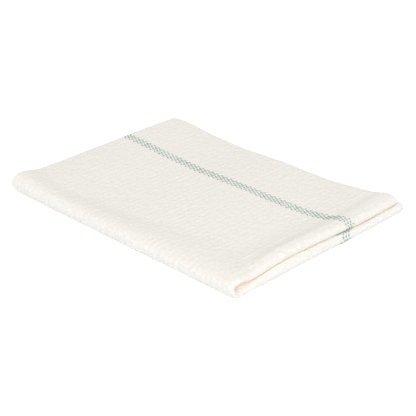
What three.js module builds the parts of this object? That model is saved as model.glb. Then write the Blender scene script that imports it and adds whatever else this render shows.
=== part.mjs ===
// A cotton floor cloth, folded once across its length and once more along it, lying flat.
//
// The cloth is one sheet, 700 by 500 mm, so the folded stack has four layers. The first fold, the
// cross fold, lays two layers together as a pair. The second, the long fold, turns that pair over on
// itself. A point of the sheet is therefore found in two steps: a hairpin along the length says how
// far it lies from the middle of its pair, and a hairpin across the width carries the pair from the
// bottom of the stack, round the long fold, to the top.
//
// Millimetres. +X runs along the stripes from the hems to the cross fold, +Y from the long fold to
// the woven edges, +Z up. The origin is under the middle of the stack's outline.

import * as THREE from 'three';

// The stack and its sheet
const FOLDED_LENGTH = 350;
const FOLDED_WIDTH = 250;
const SHEET = 2.4;
const SLACK = 0.5; // clear height between two layers that lie on each other

// The turned hems at the two ends of the cloth, which lie together at -X
const HEM_WIDTH = 11;
const HEM_EXTRA = 1.3; // what a hem adds to the sheet, on the side inside its pair
const HEM_STEP = 1.5; // over how much length it comes down to the plain sheet
const HEM_SETTLE = 122; // over how much length the layers settle behind their thick hems
const INNER_HEM_SHORT = 3; // the inner layers' hems stop this far inside the outer ones
const INNER_EDGE_SHORT = 2.5; // and so do their woven edges, at the hem end

// The cross fold's roll and the long fold's loop
const ROLL_LEVEL = 6; // the roll keeps its height over this much length before it turns
const ROLL_BLUNT = 0.12; // where the rolls face each other their tips are blunter than round ones
const ROLL_CREST = 1.1; // the upper roll's top reaches in further than a round one by this share
const ROLL_DROP_SHARE = 0.33; // part of the roll's height falls in a short drop behind its crest
const ROLL_DROP_RUN = 18;
const LOOP_LEVEL = 9; // the loop keeps its height over this much width before it turns
const LOOP_SLOW_SETTLE = 68; // near the hems part of the loop's height falls more slowly
const LOOP_SLOW_SHARE = 0.25;
const LOOP_SLOW_FROM = 5; // that slow part begins this far short of the middle, on the hem side
const LOOP_SLOW_RUN = 150;

// Where the plan's unevenness and the lifted edge begin, in from each edge
const TIP_RUN = 160;
const SIDE_RUN = 120;
const LIFT_FROM = 110; // distance from the long fold at which the woven edge begins to lift
const LEAST_LIFT = -0.1;
const CORNER_ROUND = 12; // how quickly the rounding of the top layers' hemmed corner fades
const CORNER_WIDTH = 24; // how far in from the woven edge that corner starts to round
const CORNER_PULL = 5.5;

// Across the stack, at even steps from the long fold to the woven edges.
// lowRoll, highRoll: half the distance between the two layers at the cross fold, for the lower and
// the upper pair. lowReach, highReach: how far each pair's cross fold reaches past its nominal line.
// hemReach: how far the upper pair's hems draw back inwards. settle: over how much length the rolls
// fall to the flat layers. drop: how far from the fold's line their short drop begins.
const ACROSS = [
  { lowRoll: 1.4, highRoll: 1.45, lowReach: 1.4, highReach: 0.8, hemReach: 1.5, settle: 52, drop: 9 },
  { lowRoll: 4.65, highRoll: 3.8, lowReach: 3.0, highReach: -0.4, hemReach: -0.8, settle: 52, drop: 10 },
  { lowRoll: 4.7, highRoll: 3.9, lowReach: 2.3, highReach: -0.4, hemReach: -3.5, settle: 54, drop: 11 },
  { lowRoll: 3.8, highRoll: 3.6, lowReach: 2.0, highReach: 0, hemReach: -2.2, settle: 70, drop: 14 },
  { lowRoll: 4.35, highRoll: 3.8, lowReach: 0.6, highReach: -0.6, hemReach: 2.2, settle: 95, drop: 15 },
];

// Along the stack, at even steps from the hems to the cross fold.
// loop: clear height inside the long fold. crest: how much further in than a round loop its top
// reaches. settle: over how much width it falls behind that. lean: how far the fold's outermost line
// lies above the middle. lift: how far the upper pair rises at its woven edge. lowEdge, highEdge: how far each
// pair's woven edge reaches past its nominal line. foldReach: how far the long fold does.
const ALONG = [
  { loop: 6.4, crest: 4.5, settle: 28, lean: 0, lift: 3.8, lowEdge: -2.2, highEdge: 1.8, foldReach: 0.1 },
  { loop: 4.4, crest: 0, settle: 25, lean: 0, lift: 0.25, lowEdge: -2.1, highEdge: 0.2, foldReach: 0.1 },
  { loop: 6.0, crest: 1.5, settle: 30, lean: 0, lift: -0.1, lowEdge: -1.8, highEdge: 0.4, foldReach: -0.2 },
  { loop: 6.4, crest: 3, settle: 35, lean: 0.3, lift: 0.9, lowEdge: -0.7, highEdge: 1.3, foldReach: 0.2 },
  { loop: 6.0, crest: 6, settle: 45, lean: 0.6, lift: 0.3, lowEdge: 1.2, highEdge: 0.6, foldReach: 0 },
  { loop: 5.8, crest: 7, settle: 55, lean: 1.2, lift: 0.7, lowEdge: 4.0, highEdge: -0.6, foldReach: 0.3 },
  { loop: 6.0, crest: 0.5, settle: 22, lean: 1.8, lift: 0.55, lowEdge: 7.1, highEdge: -2.3, foldReach: 0.7 },
];

// How finely the sheet is divided
const LINES_ALONG = 20; // between the hem's step and the cross fold
const LINES_ROUND_ROLL = 7;
const LINES_ACROSS = 13;
const LINES_ROUND_LOOP = 9;
const LOOP_CROWDING = 1.5; // above 1 the lines across crowd towards the loop
const BEND_ROUNDS = 2; // how often the two bends' starting lines are worked out from each other

const COTTON_COLOUR = 0xf0ece4;
const COTTON_ROUGHNESS = 0.95;

const HALF_LENGTH = FOLDED_LENGTH / 2;
const HALF_WIDTH = FOLDED_WIDTH / 2;
const HALF_SHEET = SHEET / 2;
const ROLL_LINE = HALF_LENGTH - ROLL_LEVEL; // from here on the roll is level
const LOOP_LINE = LOOP_LEVEL - HALF_WIDTH; // and up to here the loop is
const CLOSED_HALF = (SHEET + SLACK) / 2; // half the distance between two layers that lie together
const RIGHT_ANGLE = Math.PI / 2;

// A smooth step from 0 to 1
function ease(share) {
  const s = Math.min(Math.max(share, 0), 1);
  return s * s * (3 - 2 * s);
}

function mix(low, high, share) {
  return low * (1 - share) + high * share;
}

// The value of a table's column at a share of the way down it, on a smooth curve through the rows
function column(table, name, way) {
  const last = table.length - 1;
  const place = Math.min(Math.max(way, 0), 1) * last;
  const row = Math.min(Math.floor(place), last - 1);
  const f = place - row;
  const start = table[row][name];
  const end = table[row + 1][name];
  const before = row > 0 ? table[row - 1][name] : 2 * start - end;
  const after = row + 1 < last ? table[row + 2][name] : 2 * end - start;
  const slope = (end - before) / 2;
  const nextSlope = (after - start) / 2;
  const rise = end - start;
  const bend = 3 * rise - 2 * slope - nextSlope;
  const twist = slope + nextSlope - 2 * rise;
  return start + f * (slope + f * (bend + f * twist));
}

const wayAlong = (x) => (x + HALF_LENGTH) / FOLDED_LENGTH;
const wayAcross = (y) => (y + HALF_WIDTH) / FOLDED_WIDTH;

// The sheet's thickness inwards from its middle, which a hem adds to
function inwardThickness(x) {
  const past = x + HALF_LENGTH - HEM_WIDTH;
  return HALF_SHEET + HEM_EXTRA * (1 - ease(past / HEM_STEP));
}

// Half the distance between the two layers of a pair. upper goes from 0, the lower pair, to 1.
function halfPair(x, y, upper) {
  const way = wayAcross(y);
  const roll = mix(column(ACROSS, 'lowRoll', way), column(ACROSS, 'highRoll', way), upper);
  const slow = ease((ROLL_LINE - x) / column(ACROSS, 'settle', way));
  const behind = HALF_LENGTH - column(ACROSS, 'drop', way) - x;
  const tip = 1 - mix(slow, ease(behind / ROLL_DROP_RUN), ROLL_DROP_SHARE);
  const hem = HEM_EXTRA * (1 - ease((x + HALF_LENGTH - HEM_WIDTH - HEM_STEP) / HEM_SETTLE));
  return mix(CLOSED_HALF + hem, roll, tip);
}

// Clear height between the lower and the upper pair
function pairGap(x, y) {
  const way = wayAlong(x);
  const out = y - LOOP_LINE - column(ALONG, 'crest', way);
  const slowShare = LOOP_SLOW_SHARE * (1 - ease((x + LOOP_SLOW_FROM) / LOOP_SLOW_RUN));
  const fast = 1 - ease(out / column(ALONG, 'settle', way));
  const slow = 1 - ease(out / LOOP_SLOW_SETTLE);
  const loop = (column(ALONG, 'loop', way) - SLACK) * mix(fast, slow, slowShare);
  const far = ease((out - LIFT_FROM) / (FOLDED_WIDTH - LOOP_LEVEL - LIFT_FROM));
  return SLACK + loop + Math.max(column(ALONG, 'lift', way) * far, LEAST_LIFT);
}

// The middle heights of both pairs over a point of the plan
function pairHeights(x, y) {
  const low = halfPair(x, y, 0);
  const high = halfPair(x, y, 1);
  const lower = low + HALF_SHEET;
  return { low, high, lower, upper: lower + low + SHEET + pairGap(x, y) + high };
}

// The unevenness of the plan: how far a point moves off its nominal place.
// inner goes from 0, the outer layer of a pair, to 1, the inner one.
function unevenness(x, y, upper, inner) {
  const across = wayAcross(y);
  const length = wayAlong(x);
  const atTip = ease((x - HALF_LENGTH + TIP_RUN) / TIP_RUN);
  const atHem = ease((TIP_RUN - HALF_LENGTH - x) / TIP_RUN);
  const atEdge = ease((y - HALF_WIDTH + SIDE_RUN) / SIDE_RUN);
  const atFold = 1 - ease((y + HALF_WIDTH) / SIDE_RUN);
  const tipReach = mix(column(ACROSS, 'lowReach', across), column(ACROSS, 'highReach', across), upper);
  const edgeReach = mix(column(ALONG, 'lowEdge', length), column(ALONG, 'highEdge', length), upper);
  const hemReach = column(ACROSS, 'hemReach', across) * upper + INNER_HEM_SHORT * inner;
  const corner = upper * Math.exp(-(x + HALF_LENGTH) / CORNER_ROUND);
  const cornerPull = corner * CORNER_PULL * ease((y - HALF_WIDTH + CORNER_WIDTH) / CORNER_WIDTH);
  return {
    x: atTip * tipReach + atHem * hemReach,
    y: atEdge * (edgeReach - INNER_EDGE_SHORT * inner * atHem) - cornerPull
      - atFold * column(ALONG, 'foldReach', length),
  };
}

// One line of the hairpin along the length: a share of the run from the hem to the roll on the
// outer (+1) or the inner (-1) layer, or an angle of the roll's turn between them.
function linesAlong() {
  const run = [0, HEM_WIDTH / FOLDED_LENGTH, (HEM_WIDTH + HEM_STEP) / FOLDED_LENGTH];
  const first = run[run.length - 1];
  for (let i = 1; i <= LINES_ALONG; i += 1) {
    run.push(mix(first, 1, Math.sin((i / LINES_ALONG) * RIGHT_ANGLE)));
  }
  const inner = run.map((share) => ({ share, side: -1, angle: -RIGHT_ANGLE, turning: false }));
  const outer = run.map((share) => ({ share, side: 1, angle: RIGHT_ANGLE, turning: false })).reverse();
  const roll = [];
  for (let i = 1; i <= LINES_ROUND_ROLL; i += 1) {
    const angle = mix(-RIGHT_ANGLE, RIGHT_ANGLE, i / (LINES_ROUND_ROLL + 1));
    roll.push({ share: 1, side: 0, angle, turning: true });
  }
  return [...inner, ...roll, ...outer];
}

// One line of the hairpin across the width: a share of the run from the loop to the woven edge at
// the bottom (-1) or the top (+1) of the stack, or an angle of the loop's turn between them.
function linesAcross() {
  const run = [];
  for (let i = 0; i <= LINES_ACROSS; i += 1) {
    run.push((i / LINES_ACROSS) ** LOOP_CROWDING);
  }
  const bottom = run.map((share) => ({ share, angle: -RIGHT_ANGLE, turning: false })).reverse();
  const top = run.map((share) => ({ share, angle: RIGHT_ANGLE, turning: false }));
  const loop = [];
  for (let i = 1; i <= LINES_ROUND_LOOP; i += 1) {
    const angle = mix(-RIGHT_ANGLE, RIGHT_ANGLE, i / (LINES_ROUND_LOOP + 1));
    loop.push({ share: 0, angle, turning: true });
  }
  return [...bottom, ...loop, ...top];
}

// The heights at the line where the loop begins, for the lower or the upper half of its turn
function heightsAtLoop(x, upper) {
  const first = pairHeights(x, LOOP_LINE);
  const radius = (first.upper - first.lower) / 2;
  return pairHeights(x, radius + mix(first.low, first.high, upper) + HALF_SHEET - HALF_WIDTH);
}

// How far the roll's turn reaches along the length: from its tip in to its outer layer above, or to
// its inner layer, where the two rolls face each other
function rollReachOf(half, outer, upper) {
  return outer ? half * (1 + ROLL_CREST * upper) : mix(CLOSED_HALF, half, ROLL_BLUNT);
}

// A point of one face of the sheet, where a line along the length meets one across the width.
// face is +1 for the face outside its pair, -1 for the one inside it.
function clothPoint(length, width, face) {
  const upper = (1 + Math.sin(width.angle)) / 2;

  // The lines where the loop and the roll begin, each from the heights at the other
  let x = length.turning ? ROLL_LINE : mix(-HALF_LENGTH, ROLL_LINE, length.share);
  let y = LOOP_LINE;
  let loopRadius = 0;
  let loopBroad = 0;
  let loopHeight = 0;
  let loopStart = 0;
  let rollStart = 0;
  let rollHalf = 0;
  let rollBroad = 0;
  for (let round = 0; round < BEND_ROUNDS; round += 1) {
    const atLoop = heightsAtLoop(Math.min(x, ROLL_LINE), upper);
    const crest = column(ALONG, 'crest', wayAlong(Math.min(x, ROLL_LINE)));
    loopRadius = (atLoop.upper - atLoop.lower) / 2;
    loopBroad = loopRadius + crest * Math.max(Math.sin(width.angle), 0);
    loopHeight = (atLoop.upper + atLoop.lower) / 2;
    loopStart = loopBroad + mix(atLoop.low, atLoop.high, upper) + HALF_SHEET - HALF_WIDTH;
    y = width.turning ? loopStart : mix(loopStart, HALF_WIDTH, width.share);
    rollHalf = halfPair(ROLL_LINE, y, upper);
    rollBroad = rollReachOf(rollHalf, length.angle > 0, upper);
    rollStart = HALF_LENGTH - rollBroad - HALF_SHEET;
    x = length.turning ? rollStart : mix(-HALF_LENGTH, rollStart, length.share);
  }

  // How far the face lies from the middle of its pair
  const levelX = Math.min(x, ROLL_LINE);
  const offset = face > 0 ? HALF_SHEET : -inwardThickness(x);
  const runOffset = length.side * (halfPair(levelX, y, upper) + offset);
  const off = length.turning ? (rollHalf + offset) * Math.sin(length.angle) : runOffset;

  // The pair's own place, with that distance added along its normal
  const heights = pairHeights(levelX, y);
  const rollReach = length.turning ? (rollBroad + offset) * Math.cos(length.angle) : 0;
  const moved = unevenness(x, y, upper, (1 - Math.sin(length.angle)) / 2);
  let pointY = y;
  let pointZ = width.angle > 0 ? heights.upper + off : heights.lower - off;
  if (width.turning) {
    pointY = loopStart - (loopBroad + off) * Math.cos(width.angle);
    pointZ = loopHeight + (loopRadius + off) * Math.sin(width.angle)
      + column(ALONG, 'lean', wayAlong(levelX)) * Math.cos(width.angle) ** 2;
  }
  return [x + rollReach + moved.x, pointY + moved.y, Math.max(pointZ, 0)];
}

// The closed sheet: its outside face, its inside face, and the four strips round its edge
function clothGeometry() {
  const lengths = linesAlong();
  const widths = linesAcross();
  const rows = lengths.length;
  const columns = widths.length;
  const end = rows - 1;
  const edge = columns - 1;
  const positions = [];
  for (const face of [1, -1]) {
    for (const length of lengths) {
      for (const width of widths) {
        positions.push(...clothPoint(length, width, face));
      }
    }
  }

  const triangles = [];
  const at = (face, row, column) => (face * rows + row) * columns + column;
  const addFace = (a, b, c, d) => triangles.push(a, b, c, a, c, d);
  for (let i = 0; i < end; i += 1) {
    for (let j = 0; j < edge; j += 1) {
      addFace(at(0, i, j), at(0, i, j + 1), at(0, i + 1, j + 1), at(0, i + 1, j));
      addFace(at(1, i, j), at(1, i + 1, j), at(1, i + 1, j + 1), at(1, i, j + 1));
    }
  }
  for (let i = 0; i < end; i += 1) {
    addFace(at(0, i, 0), at(0, i + 1, 0), at(1, i + 1, 0), at(1, i, 0));
    addFace(at(0, i + 1, edge), at(0, i, edge), at(1, i, edge), at(1, i + 1, edge));
  }
  for (let j = 0; j < edge; j += 1) {
    addFace(at(0, 0, j + 1), at(0, 0, j), at(1, 0, j), at(1, 0, j + 1));
    addFace(at(0, end, j), at(0, end, j + 1), at(1, end, j + 1), at(1, end, j));
  }

  const geometry = new THREE.BufferGeometry();
  geometry.setAttribute('position', new THREE.Float32BufferAttribute(positions, 3));
  geometry.setIndex(triangles);
  geometry.computeBoundingBox();
  const middle = geometry.boundingBox.getCenter(new THREE.Vector3());
  geometry.translate(-middle.x, -middle.y, 0);
  geometry.computeVertexNormals();
  return geometry;
}

const cotton = new THREE.MeshStandardMaterial({
  color: COTTON_COLOUR,
  roughness: COTTON_ROUGHNESS,
  metalness: 0,
});

const cloth = new THREE.Mesh(clothGeometry(), cotton);
cloth.name = 'folded_cloth';

const floorCloth = new THREE.Group();
floorCloth.add(cloth);

export default floorCloth;
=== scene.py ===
# %% [markdown]
# # A folded cotton floor cloth
# A floor cloth is a coarse, thirsty piece of cotton, here 70 cm long and 50 cm wide. It is woven
# from thick soft yarn with fine thread across it, has a wavy green stripe near each long side, and
# is hemmed at both ends. This one is folded across its length, then along it, and lies flat.
#
# The plain solid of the stack is already packed. This lesson loads it as a fixed
# frame, lays a finely divided cloth on the same folds, and gives it its weave, hems and stripes.

# %% Load the frame
import math
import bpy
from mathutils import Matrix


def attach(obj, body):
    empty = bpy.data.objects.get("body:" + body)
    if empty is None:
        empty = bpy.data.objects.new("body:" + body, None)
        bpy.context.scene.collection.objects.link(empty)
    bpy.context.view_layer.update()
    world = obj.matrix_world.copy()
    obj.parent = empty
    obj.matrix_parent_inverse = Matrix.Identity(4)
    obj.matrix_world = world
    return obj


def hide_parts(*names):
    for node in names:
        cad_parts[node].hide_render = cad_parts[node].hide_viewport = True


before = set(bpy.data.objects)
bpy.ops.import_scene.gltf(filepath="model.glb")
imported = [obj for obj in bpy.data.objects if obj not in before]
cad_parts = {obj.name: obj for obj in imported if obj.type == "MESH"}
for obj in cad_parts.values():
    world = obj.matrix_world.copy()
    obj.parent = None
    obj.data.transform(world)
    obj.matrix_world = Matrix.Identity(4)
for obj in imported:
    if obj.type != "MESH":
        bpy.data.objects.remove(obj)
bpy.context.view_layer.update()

from types import SimpleNamespace

import bpy
import numpy as np
from mathutils import Matrix, Vector

MM = 0.001   # sizes below are in millimetres, and Blender's are in metres

# %% [markdown]
# ## Small tools for smooth shapes
# Cloth has no corners, so every change of height or outline is a smooth step. Where the shape is
# uneven along an edge, a short table gives its values at even steps and a smooth curve joins them.
# Curve objects could hold the same shapes, but a table is easier to read and to change.

# %% Smooth steps and curves through tables
def ease(share):
    """A smooth step from 0 to 1: 3 s squared minus 2 s cubed, held level outside that range."""
    s = np.clip(share, 0.0, 1.0)
    return s * s * (3 - 2 * s)


def mix(low, high, share):
    """A straight blend: low times (1 - share) plus high times share."""
    return low * (1 - share) + high * share


def column(table, name, way):
    """The value of a table's column at a share of the way down it.

    Between two rows it is the cubic that has both rows' values and, at each, the mean slope
    towards its neighbours. For the end rows' slopes the table is taken to go on in a straight line,
    and beyond them the value is held at theirs.
    """
    values = np.array([row[name] for row in table])
    last = len(values) - 1
    padded = np.concatenate([[2 * values[0] - values[1]], values, [2 * values[-1] - values[-2]]])
    place = np.clip(way, 0.0, 1.0) * last
    row = np.minimum(place.astype(int), last - 1)
    f = place - row
    before, start, end, after = (padded[row + k] for k in range(4))
    slope, next_slope, rise = (end - before) / 2, (after - start) / 2, end - start
    square = 3 * rise - 2 * slope - next_slope
    cube = slope + next_slope - 2 * rise
    return start + f * (slope + f * (square + f * cube))


print("A quarter of the way through a smooth step:", ease(0.25))

# %% [markdown]
# ## The folded stack's sizes
# The first fold, the cross fold, lays two layers together as a pair. The second, the long fold,
# turns that pair over on itself. Thick cotton doesn't crease sharply: each fold is a soft roll
# that stands higher than the layers behind it, and the stack sinks towards its middle. The sizes
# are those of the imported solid, in millimetres, so that the cloth lies where the solid is.

# %% Sizes in millimetres
FOLDED_LENGTH = 350.0
FOLDED_WIDTH = 250.0
HALF_LENGTH = FOLDED_LENGTH / 2
HALF_WIDTH = FOLDED_WIDTH / 2
SHEET = 2.4
HALF_SHEET = SHEET / 2
SLACK = 0.5            # clear height between two layers that lie on each other
CLOSED_HALF = (SHEET + SLACK) / 2
HEM_WIDTH = 11.0
HEM_EXTRA = 1.3        # what a turned hem adds, on the side inside its pair
HEM_STEP = 1.5
HEM_SETTLE = 122.0     # the layers settle behind their thick hems over this length
INNER_HEM_SHORT = 3.0  # the inner layers stop this far inside the outer ones
INNER_EDGE_SHORT = 2.5
ROLL_LINE = HALF_LENGTH - 6.0    # from here on the cross fold's roll is level
ROLL_BLUNT = 0.12      # where the rolls face each other their tips are blunter than round ones
ROLL_CREST = 1.1       # the upper roll's top reaches in further than a round one by this share
ROLL_DROP_SHARE = 0.33 # part of the roll's height falls in a short drop behind its crest
ROLL_DROP_RUN = 18.0
LOOP_LINE = 9.0 - HALF_WIDTH     # up to here the long fold's loop is level
LOOP_SLOW_SETTLE = 68.0          # near the hems part of its height falls more slowly
LOOP_SLOW_SHARE = 0.25
LOOP_SLOW_FROM = 5.0
LOOP_SLOW_RUN = 150.0
TIP_RUN = 160.0        # the plan's unevenness fades over this length,
SIDE_RUN = 120.0       # and over this width
LIFT_FROM = 110.0      # distance from the long fold at which the woven edge begins to lift
LEAST_LIFT = -0.1
CORNER_ROUND = 12.0    # the upper pair's hemmed corner is drawn in: its pull fades over this
CORNER_WIDTH = 24.0    # length, grows over this width
CORNER_PULL = 5.5      # and is this much at the corner itself
OUTLINE_MIDDLE = (-0.2587, 3.1395)   # of the whole outline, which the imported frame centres
print("Flat cloth:", 2 * FOLDED_LENGTH, "by", 2 * FOLDED_WIDTH, "mm, in four layers")

# %% [markdown]
# A hand-folded cloth is nowhere quite even, and two tables say how this one varies. The first
# follows the cross fold and the hems: each roll's half height, the length over which it settles,
# how far behind the tip its short drop begins, and how far each edge stands out of its place. The
# second follows the long sides: the clear height that the loop holds open, how much further in its
# upper half reaches before the layers fall, the width over which they settle, how far the loop's
# front bulges upwards, how far the woven edge lifts, and how far each side stands out. Random
# values would be quicker to write, but then the cloth would lie unlike the real one.

# %% How the folds and edges vary
ACROSS = [   # from the long fold to the woven edges
    dict(low_roll=1.4, high_roll=1.45, settle=52.0, drop=9.0,
         low_reach=1.4, high_reach=0.8, hem_reach=1.5),
    dict(low_roll=4.65, high_roll=3.8, settle=52.0, drop=10.0,
         low_reach=3.0, high_reach=-0.4, hem_reach=-0.8),
    dict(low_roll=4.7, high_roll=3.9, settle=54.0, drop=11.0,
         low_reach=2.3, high_reach=-0.4, hem_reach=-3.5),
    dict(low_roll=3.8, high_roll=3.6, settle=70.0, drop=14.0,
         low_reach=2.0, high_reach=0.0, hem_reach=-2.2),
    dict(low_roll=4.35, high_roll=3.8, settle=95.0, drop=15.0,
         low_reach=0.6, high_reach=-0.6, hem_reach=2.2),
]
ALONG = [    # from the hems to the cross fold
    dict(loop=6.4, crest=4.5, settle=28.0, belly=0.0, lift=3.8,
         low_edge=-2.2, high_edge=1.8, fold_reach=0.1),
    dict(loop=4.4, crest=0.0, settle=25.0, belly=0.0, lift=0.25,
         low_edge=-2.1, high_edge=0.2, fold_reach=0.1),
    dict(loop=6.0, crest=1.5, settle=30.0, belly=0.0, lift=-0.1,
         low_edge=-1.8, high_edge=0.4, fold_reach=-0.2),
    dict(loop=6.4, crest=3.0, settle=35.0, belly=0.3, lift=0.9,
         low_edge=-0.7, high_edge=1.3, fold_reach=0.2),
    dict(loop=6.0, crest=6.0, settle=45.0, belly=0.6, lift=0.3,
         low_edge=1.2, high_edge=0.6, fold_reach=0.0),
    dict(loop=5.8, crest=7.0, settle=55.0, belly=1.2, lift=0.7,
         low_edge=4.0, high_edge=-0.6, fold_reach=0.3),
    dict(loop=6.0, crest=0.5, settle=22.0, belly=1.8, lift=0.55,
         low_edge=7.1, high_edge=-2.3, fold_reach=0.7),
]
print(len(ACROSS), "places across and", len(ALONG), "along the stack have values of their own")

# %% [markdown]
# ## How high the layers lie
# Three heights describe the stack over any point of the plan: half the distance between the two
# layers of a pair, which the cross fold's roll and the hems push apart, the clear gap between the
# lower and the upper pair, which the long fold's loop holds open, and from these each pair's middle.
# Working upwards from the floor keeps the layers from ever cutting through each other.

# %% Heights of the pairs
def half_pair(x, y, upper):
    """Half the distance between a pair's layers: half the sheet and slack plus the hem's share,
    eased over to the roll's table value near the cross fold. That easing is mostly a long smooth
    step and partly a short one close behind the crest. upper is 0 below and 1 above."""
    way = (y + HALF_WIDTH) / FOLDED_WIDTH
    roll = mix(column(ACROSS, "low_roll", way), column(ACROSS, "high_roll", way), upper)
    behind = HALF_LENGTH - column(ACROSS, "drop", way) - x
    slow = ease((ROLL_LINE - x) / column(ACROSS, "settle", way))
    tip = 1 - mix(slow, ease(behind / ROLL_DROP_RUN), ROLL_DROP_SHARE)
    hem = HEM_EXTRA * (1 - ease((x + HALF_LENGTH - HEM_WIDTH - HEM_STEP) / HEM_SETTLE))
    return mix(CLOSED_HALF + hem, roll, tip)


def pair_gap(x, y):
    """Clear height between the pairs: the slack, plus the loop's height beyond it times a fall,
    plus the lift. The fall is one less a smooth step outwards from the loop's crest, and near the
    hems partly a slower one. The lift is a smooth step towards the woven edge."""
    way = (x + HALF_LENGTH) / FOLDED_LENGTH
    out = y - LOOP_LINE - column(ALONG, "crest", way)
    slow_share = LOOP_SLOW_SHARE * (1 - ease((x + LOOP_SLOW_FROM) / LOOP_SLOW_RUN))
    fast = 1 - ease(out / column(ALONG, "settle", way))
    slow = 1 - ease(out / LOOP_SLOW_SETTLE)
    far = ease((out - LIFT_FROM) / (HALF_WIDTH - LOOP_LINE - LIFT_FROM))
    lift = np.maximum(column(ALONG, "lift", way) * far, LEAST_LIFT)
    return SLACK + (column(ALONG, "loop", way) - SLACK) * mix(fast, slow, slow_share) + lift


def pair_heights(x, y):
    """Half distances of both pairs, and the heights of their middles, summed up from the floor."""
    low, high = half_pair(x, y, 0.0), half_pair(x, y, 1.0)
    lower = low + HALF_SHEET
    return low, high, lower, lower + low + SHEET + pair_gap(x, y) + high


_, half_above, _, middle_above = pair_heights(np.array([0.0, ROLL_LINE]), np.array([0.0, 0.0]))
heights = middle_above + half_above + HALF_SHEET
print("The stack is %.1f mm high at its middle and %.1f mm at the rolls" % tuple(heights))

# %% [markdown]
# ## How the plan is uneven
# Nobody folds a cloth quite square. The layers stop short of each other at the hems and the woven
# edges, the rolls bow a little, and one corner is drawn in. Each of these is a shift in plan that
# is eased in from the middle of the stack, so the middle stays where it is.

# %% Shifts in plan
def unevenness(x, y, upper, inner):
    """How far a point moves off its nominal place in plan: table values along each edge, each
    eased in from the middle of the stack. The upper pair's hemmed corner is also pulled in, by an
    exponential that fades from the hem times a smooth step towards the woven edge. inner is 0 on
    a pair's outer layer and 1 on its inner."""
    across, length = (y + HALF_WIDTH) / FOLDED_WIDTH, (x + HALF_LENGTH) / FOLDED_LENGTH
    at_tip = ease((x - HALF_LENGTH + TIP_RUN) / TIP_RUN)
    at_hem = ease((TIP_RUN - HALF_LENGTH - x) / TIP_RUN)
    at_edge = ease((y - HALF_WIDTH + SIDE_RUN) / SIDE_RUN)
    at_fold = 1 - ease((y + HALF_WIDTH) / SIDE_RUN)
    tip_reach = mix(column(ACROSS, "low_reach", across), column(ACROSS, "high_reach", across), upper)
    edge_reach = mix(column(ALONG, "low_edge", length), column(ALONG, "high_edge", length), upper)
    hem_reach = column(ACROSS, "hem_reach", across) * upper + INNER_HEM_SHORT * inner
    corner = upper * np.exp(-(x + HALF_LENGTH) / CORNER_ROUND)
    pull = corner * CORNER_PULL * ease((y - HALF_WIDTH + CORNER_WIDTH) / CORNER_WIDTH)
    return (at_tip * tip_reach + at_hem * hem_reach,
            at_edge * (edge_reach - INNER_EDGE_SHORT * inner * at_hem) - pull
            - at_fold * column(ALONG, "fold_reach", length))


shift_x, shift_y = unevenness(np.array(HALF_LENGTH), np.array(0.0), 0.0, 0.0)
print("The lower roll's middle moves by %.1f and %.1f mm" % (shift_x, shift_y))

# %% [markdown]
# ## Folding: from the flat cloth to the stack
# Everything on the cloth, its weave, its hems and its stripes, is drawn on the flat cloth first
# and then folded with it. A point of the flat cloth has two coordinates: `u` along the stripes,
# counted from the cross fold, and `v` across them, counted from the long fold. One function
# carries such a point, and its distance off the middle of the sheet, into the stack. A cloth
# simulation would also fold it, but not with the rolls and edges where the real ones are.
#
# Each bend is a half circle that is stretched to the length of cloth in it. The long fold's loop
# is found first. It takes a point from the lower pair of layers to the upper one.

# %% Round the loop
LOOP_WRAP = 6.3   # what the loop's turn adds to the width of cloth in each layer
RIGHT_ANGLE = math.pi / 2


def round_loop(flat_x, v):
    """Where a point is on its way from the lower pair round the long fold to the upper one.

    Its angle is its distance from the fold over the bend's length, times a right angle. The
    bend's radius is half the height between the pairs' middles, and its upper half reaches further
    in by the crest times the angle's sine. y is the bend's start, or the level layer's own place.
    """
    low, high, lower, higher = pair_heights(flat_x, LOOP_LINE)
    bend_y = (higher - lower) / 2 + np.where(v < 0, low, high) + HALF_SHEET - HALF_WIDTH
    low, high, lower, higher = pair_heights(flat_x, bend_y)
    radius, height = (higher - lower) / 2, (higher + lower) / 2
    crest = column(ALONG, "crest", (flat_x + HALF_LENGTH) / FOLDED_LENGTH)
    length = radius + np.where(v > 0, crest + high, low) + HALF_SHEET + LOOP_WRAP
    inside_bend = np.abs(v) < length
    angle = np.where(inside_bend, v / length, np.sign(v)) * RIGHT_ANGLE
    upper = (1 + np.sin(angle)) / 2
    broad = radius + crest * np.maximum(np.sin(angle), 0.0)
    start = broad + mix(low, high, upper) + HALF_SHEET - HALF_WIDTH
    y = np.where(inside_bend, start, np.abs(v) - LOOP_WRAP - HALF_WIDTH)
    return SimpleNamespace(inside_bend=inside_bend, angle=angle, radius=radius, height=height,
                           broad=broad, start=start, y=y, upper=upper)


zero = np.array(0.0)   # x and y are 0 at the stack's middle, and u and v at their folds
print("Cloth round the loop at mid-length: %.1f mm" % (
    2 * RIGHT_ANGLE * round_loop(zero, zero).radius))

# %% [markdown]
# The cross fold's roll takes a point from a pair's inner layer to its outer one. It is found
# second, because its height depends on where round the loop the point is.

# %% Round the roll
ROLL_WRAP = 3.0   # what the roll's turn adds to the length of cloth in each layer


def round_roll(u, y, upper):
    """Where a point is on its way from a pair's inner layer round the cross fold to its outer one.

    The angle comes about as in the loop. The roll's height is its table value, and its breadth is
    that value too, but longer on the outer side of the upper roll and blunter on the inner side.
    """
    half = half_pair(np.full_like(y, ROLL_LINE), y, upper)
    crested = half * (1 + ROLL_CREST * upper)
    broad = np.where(u > 0, crested, mix(CLOSED_HALF, half, ROLL_BLUNT))
    length = broad + HALF_SHEET + ROLL_WRAP
    inside_bend = np.abs(u) < length
    angle = np.where(inside_bend, u / length, np.sign(u)) * RIGHT_ANGLE
    start = HALF_LENGTH - broad - HALF_SHEET
    x = np.where(inside_bend, start, HALF_LENGTH + ROLL_WRAP - np.abs(u))
    return SimpleNamespace(inside_bend=inside_bend, angle=angle, half=half, broad=broad, x=x)


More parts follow.
